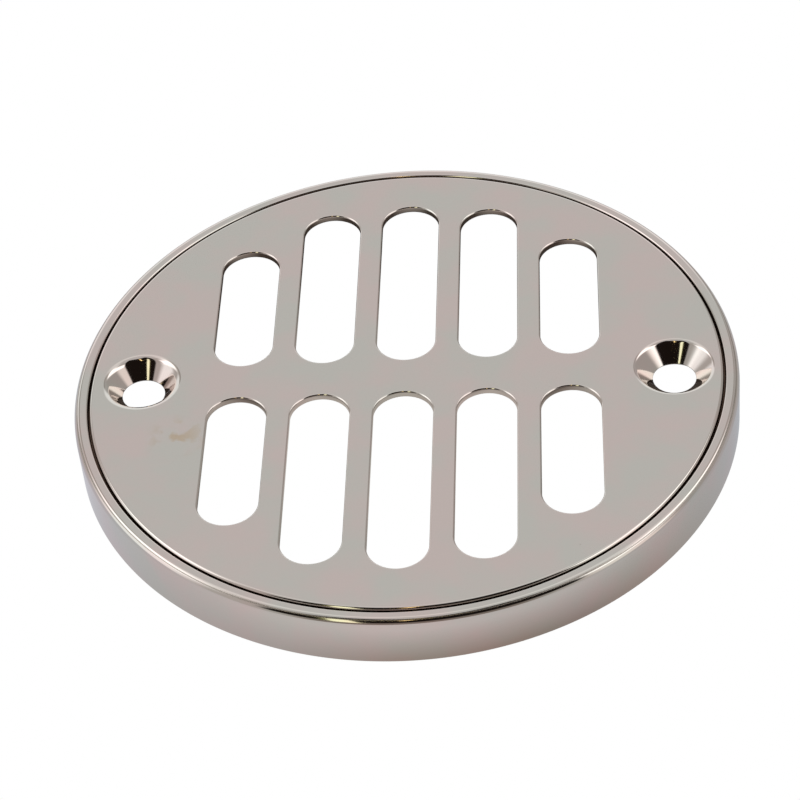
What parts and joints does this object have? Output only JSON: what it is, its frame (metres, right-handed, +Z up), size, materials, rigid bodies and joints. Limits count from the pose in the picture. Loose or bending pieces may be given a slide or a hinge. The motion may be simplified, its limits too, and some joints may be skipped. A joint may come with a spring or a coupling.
{
  "type": "floor drain grate",
  "caption": "Round slotted strainer plate lying loose in a polished nickel trim ring for a floor drain.",
  "frame": {"origin": "centre of the trim ring's foot, level with the floor that it rests on", "axes": "+Z up out of the drain, Y along the slots, X along the row of slots and close to the two screw holes"},
  "size_m": [0.108, 0.108, 0.0089],
  "materials": {
    "ring_nickel": "polished nickel plating on brass",
    "plate_nickel": "polished nickel plating on stamped brass sheet"
  },
  "bodies": {
    "crown": {"crown_ring": "ring_nickel"},
    "grate": {"grate_plate": "plate_nickel"}
  },
  "joints": [
    {"name": "grate_lift", "type": "slide", "parent": "crown", "child": "grate", "axis": [0, 0, 1], "range_m": [0, 0.03]}
  ]
}
